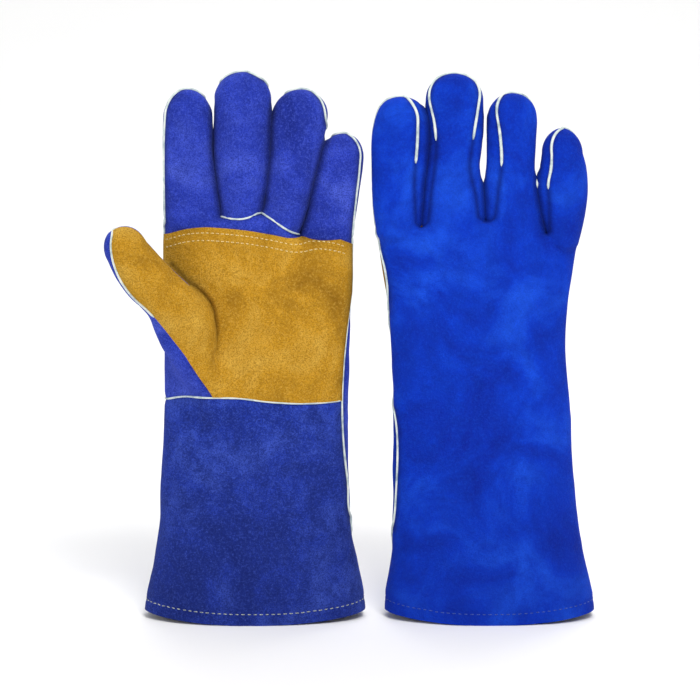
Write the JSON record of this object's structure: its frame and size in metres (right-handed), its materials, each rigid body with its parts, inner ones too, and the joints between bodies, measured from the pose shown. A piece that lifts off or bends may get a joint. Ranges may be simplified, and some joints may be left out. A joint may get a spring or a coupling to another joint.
{
  "type": "cryogenic gloves",
  "caption": "Pair of long suede leather safety gauntlets with flared cuffs, welted finger seams, a stitched palm and thumb patch, and bending fingers, thumbs and wrists.",
  "frame": {"origin": "bottom centre of the pair's bounding box, on the surface that the hems stand on", "axes": "+Z from the hems to the fingertips; +X across the pair, towards the second glove; +Y through the gloves, from the first glove's palm to its back"},
  "size_m": [0.3132, 0.1007, 0.3566],
  "materials": {
    "blue_leather": "suede",
    "hem_leather": "suede",
    "tan_leather": "suede",
    "welt": "smooth",
    "lining": "fleece",
    "thread": "twisted thread"
  },
  "bodies": {
    "left_cuff": {"left_cuff_palm_panel": "blue_leather", "left_cuff_back_panel": "blue_leather", "left_cuff_hem": "hem_leather", "left_cuff_liner": "lining", "left_wrist_welt": "welt"},
    "left_hand": {"left_palm_panel": "blue_leather", "left_back_panel": "blue_leather", "left_palm_patch": "tan_leather", "left_hand_liner": "lining", "left_finger_welt": "welt"},
    "left_index_base": {"left_index_base_palm": "blue_leather", "left_index_base_back": "blue_leather"},
    "left_index_tip": {"left_index_tip_palm": "blue_leather", "left_index_tip_back": "blue_leather"},
    "left_middle_base": {"left_middle_base_palm": "blue_leather", "left_middle_base_back": "blue_leather"},
    "left_middle_tip": {"left_middle_tip_palm": "blue_leather", "left_middle_tip_back": "blue_leather"},
    "left_ring_base": {"left_ring_base_palm": "blue_leather", "left_ring_base_back": "blue_leather"},
    "left_ring_tip": {"left_ring_tip_palm": "blue_leather", "left_ring_tip_back": "blue_leather"},
    "left_little_base": {"left_little_base_palm": "blue_leather", "left_little_base_back": "blue_leather"},
    "left_little_tip": {"left_little_tip_palm": "blue_leather", "left_little_tip_back": "blue_leather"},
    "left_thumb_base": {"left_thumb_base_palm": "tan_leather", "left_thumb_base_back": "blue_leather"},
    "left_thumb_tip": {"left_thumb_tip_palm": "tan_leather", "left_thumb_tip_back": "blue_leather"},
    "right_cuff": {"right_cuff_palm_panel": "blue_leather", "right_cuff_back_panel": "blue_leather", "right_cuff_hem": "hem_leather", "right_cuff_liner": "lining", "right_wrist_welt": "welt"},
    "right_hand": {"right_palm_panel": "blue_leather", "right_back_panel": "blue_leather", "right_palm_patch": "tan_leather", "right_hand_liner": "lining", "right_finger_welt": "welt"},
    "right_index_base": {"right_index_base_palm": "blue_leather", "right_index_base_back": "blue_leather"},
    "right_index_tip": {"right_index_tip_palm": "blue_leather", "right_index_tip_back": "blue_leather"},
    "right_middle_base": {"right_middle_base_palm": "blue_leather", "right_middle_base_back": "blue_leather"},
    "right_middle_tip": {"right_middle_tip_palm": "blue_leather", "right_middle_tip_back": "blue_leather"},
    "right_ring_base": {"right_ring_base_palm": "blue_leather", "right_ring_base_back": "blue_leather"},
    "right_ring_tip": {"right_ring_tip_palm": "blue_leather", "right_ring_tip_back": "blue_leather"},
    "right_little_base": {"right_little_base_palm": "blue_leather", "right_little_base_back": "blue_leather"},
    "right_little_tip": {"right_little_tip_palm": "blue_leather", "right_little_tip_back": "blue_leather"},
    "right_thumb_base": {"right_thumb_base_palm": "tan_leather", "right_thumb_base_back": "blue_leather"},
    "right_thumb_tip": {"right_thumb_tip_palm": "tan_leather", "right_thumb_tip_back": "blue_leather"}
  },
  "joints": [
    {"name": "left_wrist_bend", "type": "hinge", "parent": "left_cuff", "child": "left_hand", "pos_m": [-0.0604, -0.006, 0.142], "axis": [1, 0, 0], "range_deg": [-30, 30]},
    {"name": "left_index_knuckle", "type": "hinge", "parent": "left_hand", "child": "left_index_base", "pos_m": [-0.1035, -0.006, 0.267], "axis": [0.9998, 0, 0.0192], "range_deg": [-10, 45]},
    {"name": "left_index_joint", "type": "hinge", "parent": "left_index_base", "child": "left_index_tip", "pos_m": [-0.10422, -0.006, 0.30472], "axis": [0.9998, 0, 0.0192], "range_deg": [-11, 50]},
    {"name": "left_middle_knuckle", "type": "hinge", "parent": "left_hand", "child": "left_middle_base", "pos_m": [-0.0698, -0.007, 0.268], "axis": [0.9998, 0, -0.0175], "range_deg": [-10, 45]},
    {"name": "left_middle_joint", "type": "hinge", "parent": "left_middle_base", "child": "left_middle_tip", "pos_m": [-0.06906, -0.007, 0.31047], "axis": [0.9998, 0, -0.0175], "range_deg": [-11, 50]},
    {"name": "left_ring_knuckle", "type": "hinge", "parent": "left_hand", "child": "left_ring_base", "pos_m": [-0.0415, -0.008, 0.266], "axis": [0.9893, 0, -0.1461], "range_deg": [-10, 45]},
    {"name": "left_ring_joint", "type": "hinge", "parent": "left_ring_base", "child": "left_ring_tip", "pos_m": [-0.03585, -0.008, 0.30423], "axis": [0.9893, 0, -0.1461], "range_deg": [-11, 50]},
    {"name": "left_little_knuckle", "type": "hinge", "parent": "left_hand", "child": "left_little_base", "pos_m": [-0.0147, -0.0045, 0.257], "axis": [0.9842, 0, -0.1771], "range_deg": [-10, 45]},
    {"name": "left_little_joint", "type": "hinge", "parent": "left_little_base", "child": "left_little_tip", "pos_m": [-0.00956, -0.0045, 0.28558], "axis": [0.9842, 0, -0.1771], "range_deg": [-11, 50]},
    {"name": "left_thumb_swing", "type": "hinge", "parent": "left_hand", "child": "left_thumb_base", "pos_m": [-0.093, -0.027, 0.163], "axis": [0, 0.7431, 0.6691], "range_deg": [0, 43]},
    {"name": "left_thumb_joint", "type": "hinge", "parent": "left_thumb_base", "child": "left_thumb_tip", "pos_m": [-0.12577, -0.03509, 0.21501], "axis": [0.8461, 0, 0.533], "range_deg": [0, 40]},
    {"name": "right_wrist_bend", "type": "hinge", "parent": "right_cuff", "child": "right_hand", "pos_m": [0.0842, -0.006, 0.142], "axis": [-1, 0, 0], "range_deg": [-30, 30]},
    {"name": "right_index_knuckle", "type": "hinge", "parent": "right_hand", "child": "right_index_base", "pos_m": [0.0297, -0.006, 0.264], "axis": [-0.9994, 0, 0.0349], "range_deg": [-10, 45]},
    {"name": "right_index_joint", "type": "hinge", "parent": "right_index_base", "child": "right_index_tip", "pos_m": [0.031, -0.006, 0.30123], "axis": [-0.9994, 0, 0.0349], "range_deg": [-11, 50]},
    {"name": "right_middle_knuckle", "type": "hinge", "parent": "right_hand", "child": "right_middle_base", "pos_m": [0.0667, -0.006, 0.267], "axis": [-1, 0, -0.007], "range_deg": [-10, 45]},
    {"name": "right_middle_joint", "type": "hinge", "parent": "right_middle_base", "child": "right_middle_tip", "pos_m": [0.0664, -0.006, 0.30986], "axis": [-1, 0, -0.007], "range_deg": [-11, 50]},
    {"name": "right_ring_knuckle", "type": "hinge", "parent": "right_hand", "child": "right_ring_base", "pos_m": [0.1053, -0.006, 0.266], "axis": [-0.9995, 0, -0.0332], "range_deg": [-10, 45]},
    {"name": "right_ring_joint", "type": "hinge", "parent": "right_ring_base", "child": "right_ring_tip", "pos_m": [0.10405, -0.006, 0.30375], "axis": [-0.9995, 0, -0.0332], "range_deg": [-11, 50]},
    {"name": "right_little_knuckle", "type": "hinge", "parent": "right_hand", "child": "right_little_base", "pos_m": [0.1383, -0.006, 0.258], "axis": [-0.9993, 0, -0.0384], "range_deg": [-10, 45]},
    {"name": "right_little_joint", "type": "hinge", "parent": "right_little_base", "child": "right_little_tip", "pos_m": [0.13712, -0.006, 0.2887], "axis": [-0.9993, 0, -0.0384], "range_deg": [-11, 50]},
    {"name": "right_thumb_swing", "type": "hinge", "parent": "right_hand", "child": "right_thumb_base", "pos_m": [0.051, 0.015, 0.163], "axis": [0, 0.7431, -0.6691], "range_deg": [-43, 0]},
    {"name": "right_thumb_joint", "type": "hinge", "parent": "right_thumb_base", "child": "right_thumb_tip", "pos_m": [0.05709, 0.03012, 0.22282], "axis": [-0.8889, 0.4573, -0.0251], "range_deg": [0, 40]},
    {"name": "right_glove_shift", "type": "slide", "parent": "left_cuff", "child": "right_cuff", "axis": [1, 0, 0], "range_m": [0, 0.06]}
  ],
  "couplings": [
    {"joint": "left_index_joint", "follows": "left_index_knuckle", "ratio": 1.1},
    {"joint": "left_middle_joint", "follows": "left_middle_knuckle", "ratio": 1.1},
    {"joint": "left_ring_joint", "follows": "left_ring_knuckle", "ratio": 1.1},
    {"joint": "left_little_joint", "follows": "left_little_knuckle", "ratio": 1.1},
    {"joint": "right_index_joint", "follows": "right_index_knuckle", "ratio": 1.1},
    {"joint": "right_middle_joint", "follows": "right_middle_knuckle", "ratio": 1.1},
    {"joint": "right_ring_joint", "follows": "right_ring_knuckle", "ratio": 1.1},
    {"joint": "right_little_joint", "follows": "right_little_knuckle", "ratio": 1.1}
  ]
}
